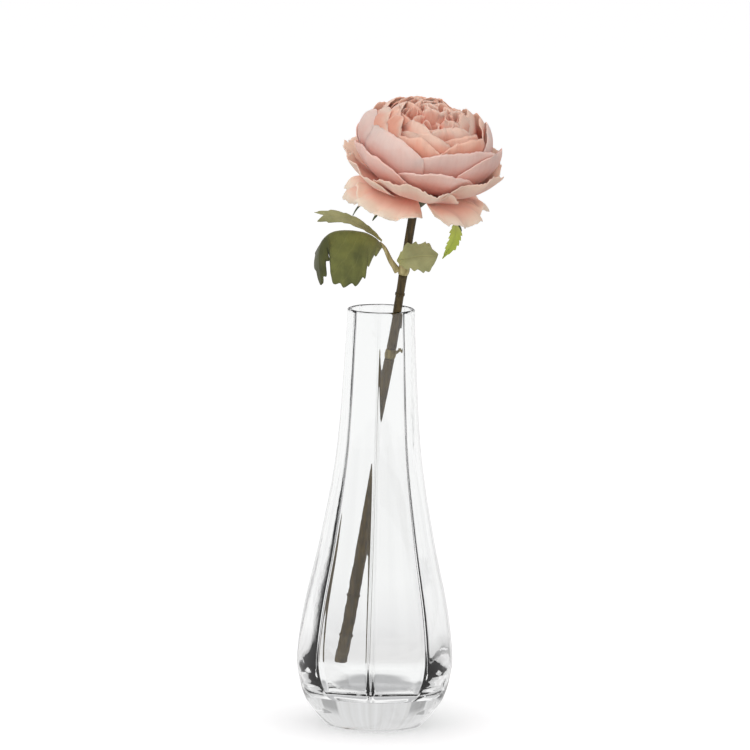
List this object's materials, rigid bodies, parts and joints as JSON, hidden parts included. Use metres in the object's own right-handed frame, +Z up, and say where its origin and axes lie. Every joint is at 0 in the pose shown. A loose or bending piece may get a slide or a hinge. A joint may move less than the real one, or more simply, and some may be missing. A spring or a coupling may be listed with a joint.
{
  "type": "glass bud vase with artificial flower stem",
  "caption": "Clear ribbed teardrop glass bud vase with a thick base, holding an artificial ruffled flower on a leafy stem that lifts out and turns.",
  "frame": {"origin": "centre of the vase's flat foot, on the surface it stands on", "axes": "+Z up along the vase's axis, -Y towards the side that the flower leans to and faces, +X to the right seen from there"},
  "size_m": [0.1058, 0.1114, 0.3482],
  "materials": {
    "clear_glass": "gloss",
    "steel_wire": "satin",
    "stem_bark": "matte",
    "node_plastic": "satin",
    "leaf_dark": "matte",
    "leaf_pale": "matte",
    "leaf_bract": "matte",
    "calyx_plastic": "matte",
    "sepal_fabric": "matte",
    "core_plastic": "matte",
    "petal_cream": "matte",
    "petal_pink": "matte",
    "petal_coral": "matte",
    "petal_apricot": "matte"
  },
  "bodies": {
    "vase": {"vase_glass": "clear_glass"},
    "core_wire": {"stem_wire": "steel_wire"},
    "stem": {"stem_lower": "stem_bark", "stem_knuckle": "node_plastic", "stem_middle": "stem_bark", "stem_upper": "stem_bark"},
    "leaf_spray": {"leaf_collar": "node_plastic", "leaf_stalk_left": "node_plastic", "leaf_large_left": "leaf_dark", "leaf_upper_narrow": "leaf_pale", "leaf_right_small": "leaf_pale"},
    "flower_head": {"calyx_cup": "calyx_plastic", "sepal_star": "sepal_fabric", "bract_stalk": "node_plastic", "bract_leaf": "leaf_bract", "petals_skirt": "petal_cream", "petals_guard": "petal_cream", "petals_cup_outer": "petal_pink", "petals_cup_middle": "petal_pink", "petals_cup_inner": "petal_coral", "petals_heart_outer": "petal_coral", "petals_heart_inner": "petal_apricot", "flower_heart": "core_plastic", "rosette_tuft_1": "petal_apricot", "rosette_tuft_2": "petal_apricot", "rosette_tuft_3": "petal_apricot", "rosette_tuft_4": "petal_apricot", "rosette_tuft_5": "petal_apricot", "rosette_tuft_6": "petal_apricot", "rosette_tuft_7": "petal_apricot"}
  },
  "joints": [
    {"name": "stem_lift", "type": "slide", "parent": "vase", "child": "core_wire", "axis": [0.1334, -0.1544, 0.979], "range_m": [0, 0.23]},
    {"name": "stem_turn", "type": "hinge", "parent": "core_wire", "child": "stem", "pos_m": [-0.0192, 0.0216, 0.0252], "axis": [0.1334, -0.1544, 0.979], "continuous": true},
    {"name": "leaf_spray_turn", "type": "hinge", "parent": "stem", "child": "leaf_spray", "pos_m": [0.01191, -0.01442, 0.25359], "axis": [0.1334, -0.1544, 0.979], "range_deg": [-140, 140]},
    {"name": "head_turn", "type": "hinge", "parent": "stem", "child": "flower_head", "pos_m": [0.01654, -0.01978, 0.28756], "axis": [0.1334, -0.1544, 0.979], "range_deg": [-140, 140]}
  ]
}
